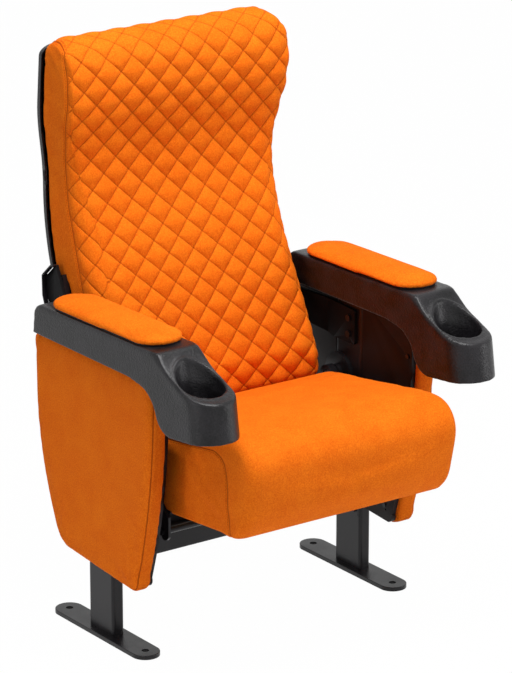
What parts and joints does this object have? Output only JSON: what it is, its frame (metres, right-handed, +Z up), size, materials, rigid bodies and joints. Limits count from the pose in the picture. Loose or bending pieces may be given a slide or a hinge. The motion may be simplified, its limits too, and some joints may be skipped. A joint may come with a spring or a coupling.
{
  "type": "tip-up auditorium seat",
  "caption": "Floor-mounted auditorium seat with an orange upholstered back, tip-up cushion, side panels and black moulded arms with cup holders.",
  "frame": {"origin": "centre of the four floor anchor holes, on the floor plane under the foot plates", "axes": "+X across the seat to the sitter's left, +Y from the front towards the back, +Z up"},
  "size_m": [0.67, 0.6649, 1.085],
  "materials": {
    "woven_fabric": "matte orange woven upholstery",
    "arm_polypropylene": "black fine-textured polypropylene",
    "black_powder_coat": "black satin powder coat",
    "black_board": "black laminated board",
    "plywood": "unfinished moulded plywood",
    "zinc_plate": "bright zinc-plated steel",
    "rubber": "moulded black rubber",
    "acetal": "natural acetal"
  },
  "bodies": {
    "frame": {"arm_screws": "zinc_plate", "back_arm_bolts": "zinc_plate", "back_board": "plywood", "back_cushion": "woven_fabric", "back_shell": "arm_polypropylene", "beam_bolts": "zinc_plate", "board_screws": "zinc_plate", "bracket_bolts": "zinc_plate", "cross_beam": "black_powder_coat", "left_arm": "arm_polypropylene", "left_arm_pad": "woven_fabric", "left_arm_plate": "black_powder_coat", "left_back_arm": "black_powder_coat", "left_back_strut": "black_powder_coat", "left_foot_plate": "black_powder_coat", "left_front_board": "black_board", "left_pad_board": "black_board", "left_pivot_bracket": "black_powder_coat", "left_pivot_pin": "zinc_plate", "left_post": "black_powder_coat", "left_rear_board": "black_board", "left_side_panel": "woven_fabric", "left_stop_buffer": "rubber", "right_arm": "arm_polypropylene", "right_arm_pad": "woven_fabric", "right_arm_plate": "black_powder_coat", "right_back_arm": "black_powder_coat", "right_back_strut": "black_powder_coat", "right_foot_plate": "black_powder_coat", "right_front_board": "black_board", "right_pad_board": "black_board", "right_pivot_bracket": "black_powder_coat", "right_pivot_pin": "zinc_plate", "right_post": "black_powder_coat", "right_rear_board": "black_board", "right_side_panel": "woven_fabric", "right_stop_buffer": "rubber", "shell_screws": "zinc_plate", "strut_bolts": "zinc_plate"},
    "seat": {"left_hinge_arm": "black_powder_coat", "left_pivot_bush": "acetal", "right_hinge_arm": "black_powder_coat", "right_pivot_bush": "acetal", "seat_board": "plywood", "seat_cushion": "woven_fabric", "seat_screws": "zinc_plate", "tie_rod": "zinc_plate"}
  },
  "joints": [
    {"name": "seat_tip", "type": "hinge", "parent": "frame", "child": "seat", "pos_m": [0, 0.025, 0.396], "axis": [-1, 0, 0], "range_deg": [0, 65]}
  ]
}
